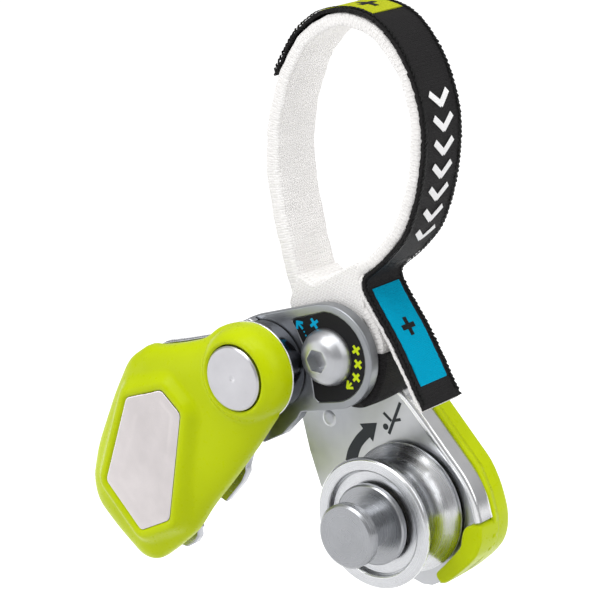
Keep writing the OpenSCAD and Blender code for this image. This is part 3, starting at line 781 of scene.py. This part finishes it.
# ------------------------------------------------------------------ CAD nodes that stay
def finish_node(node, mat, bevel=0.0, segs=3, angle=35):
    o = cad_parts[node]
    if not o.material_slots:
        o.data.materials.append(M[mat])
    for s_ in o.material_slots:
        s_.material = M[mat]
    a = o.data.attributes.get("custom_normal")
    if a is not None:
        o.data.attributes.remove(a)
    o.data.polygons.foreach_set("use_smooth", [True] * len(o.data.polygons))
    w = o.modifiers.new("weld", "WELD")
    w.merge_threshold = 2e-6
    if bevel:
        b = o.modifiers.new("bevel", "BEVEL")
        b.width = bevel * MM
        b.segments = segs
        b.limit_method = "ANGLE"
        b.angle_limit = math.radians(angle)
        b.use_clamp_overlap = True
    n = o.modifiers.new("wn", "WEIGHTED_NORMAL")
    n.keep_sharp = False
    n.weight = 60


for node, mat, bev in (
    ("base_plate", "plate", 0.35), ("hanger_bracket", "bracket", 0.35), ("bracket_label", "paint", 0.05),
    ("hanger_bolt", "screw", 0.12), ("bolt_sleeve", "screw", 0.2), ("hanger_nut", "screw", 0.3), ("pivot_axle", "axle", 0.2),
    ("axle_nut", "axle", 0.2), ("lock_stud", "stud", 0.15), ("stud_nut", "stud", 0.3), ("plate_rivet", "plate", 0.1),
    ("rope_sheave", "sheave", 0.15), ("sheave_bush", "brass", 0.1), ("cheek_plate", "cheek", 0.4),
    ("cheek_collar", "collar", 0.35), ("pivot_bush", "brass", 0.1), ("cheek_spacer", "collar", 0.3),
    ("cheek_post", "cheek", 0.2), ("release_button", "button", 0.15), ("lock_dog", "axle", 0.15), ("button_spring", "wire", 0.0)):
    finish_node(node, mat, bev)

# ------------------------------------------------------------------ floor and light
low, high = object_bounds()
floor_z = low[2] - 0.05
me = bpy.data.meshes.new("floor")
me.from_pydata([(-6, -6, floor_z), (6, -6, floor_z), (6, 6, floor_z), (-6, 6, floor_z)], [], [(0, 1, 2, 3)])
floor = bpy.data.objects.new("floor", me)
sc.collection.objects.link(floor)
fm = bpy.data.materials.new("floor_glow_painted_light")
fm.use_nodes = True
ft = fm.node_tree
fb = ft.nodes["Principled BSDF"]
fb.inputs["Roughness"].default_value = 0.9
fb.inputs["Emission Color"].default_value = (1, 1, 1, 1)
fc = ft.nodes.new("ShaderNodeTexCoord")
fdot = ft.nodes.new("ShaderNodeVectorMath")
fdot.operation = "DOT_PRODUCT"
fdot.inputs[1].default_value = (-0.62, 0.78, 0.0)
ft.links.new(fc.outputs["Object"], fdot.inputs[0])
flen = ft.nodes.new("ShaderNodeVectorMath")
flen.operation = "LENGTH"
ft.links.new(fc.outputs["Object"], flen.inputs[0])


def floor_ramp(source, lo, hi, to_max):
    n = ft.nodes.new("ShaderNodeMapRange")
    n.inputs["From Min"].default_value = lo
    n.inputs["From Max"].default_value = hi
    n.inputs["To Max"].default_value = to_max
    ft.links.new(source, n.inputs["Value"])
    return n.outputs[0]


def floor_max(a, b):
    n = ft.nodes.new("ShaderNodeMath")
    n.operation = "MAXIMUM"
    ft.links.new(a, n.inputs[0])
    ft.links.new(b, n.inputs[1])
    return n.outputs[0]


# the floor glows, painted light: its glow is strongest behind the object and far out and stops close before it, where
# its colour is also a little greyer, painted shade
dot, reach = fdot.outputs["Value"], flen.outputs["Value"]
ft.links.new(floor_max(floor_ramp(dot, -0.03, 0.09, 0.5), floor_ramp(reach, 0.4, 1.6, 0.75)), fb.inputs["Emission Strength"])
fmix = ft.nodes.new("ShaderNodeMix")
fmix.data_type = "RGBA"
ft.links.new(floor_max(floor_ramp(dot, -0.03, 0.09, 1.0), floor_ramp(reach, 0.5, 0.9, 1.0)), fmix.inputs[0])
fmix.inputs[6].default_value = (0.74, 0.74, 0.75, 1)
fmix.inputs[7].default_value = (0.93, 0.93, 0.93, 1)
ft.links.new(fmix.outputs[2], fb.inputs["Base Color"])
me.materials.append(fm)
floor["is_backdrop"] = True

world = bpy.data.worlds.new("studio")
world.use_nodes = True
sc.world = world
bg = world.node_tree.nodes["Background"]
wt = world.node_tree
tc = wt.nodes.new("ShaderNodeTexCoord")
sp = wt.nodes.new("ShaderNodeSeparateXYZ")
rp = wt.nodes.new("ShaderNodeValToRGB")
wt.links.new(tc.outputs["Generated"], sp.inputs[0])
wt.links.new(sp.outputs[2], rp.inputs[0])
rp.color_ramp.elements[0].position = 0.0
rp.color_ramp.elements[0].color = (0.42, 0.42, 0.43, 1)
rp.color_ramp.elements[1].position = 0.9
rp.color_ramp.elements[1].color = (1, 1, 1, 1)
e = rp.color_ramp.elements.new(0.35)
e.color = (0.6, 0.6, 0.61, 1)
wt.links.new(rp.outputs[0], bg.inputs["Color"])
bg.inputs["Strength"].default_value = 0.62


def light(name, az, el, dist, size, power, sy=None, aim=None):
    d = bpy.data.lights.new(name, "AREA")
    d.shape = "RECTANGLE"
    d.size = size
    d.size_y = sy or size
    d.energy = power
    o = bpy.data.objects.new(name, d)
    sc.collection.objects.link(o)
    a, e_ = math.radians(az), math.radians(el)
    v = Vector((math.sin(a) * math.cos(e_), -math.cos(a) * math.cos(e_), math.sin(e_)))
    o.location = (aim or target) + v * dist
    o.rotation_euler = v.to_track_quat("Z", "Y").to_euler()
    return o


light("key", -10, 50, 0.9, 0.55, 3.2)
light("front_card", -42, 8, 0.9, 0.7, 1.3)
light("side", 104, 34, 0.9, 0.7, 2.6)
light("top", 60, 80, 0.9, 0.6, 2.9)

low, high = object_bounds()
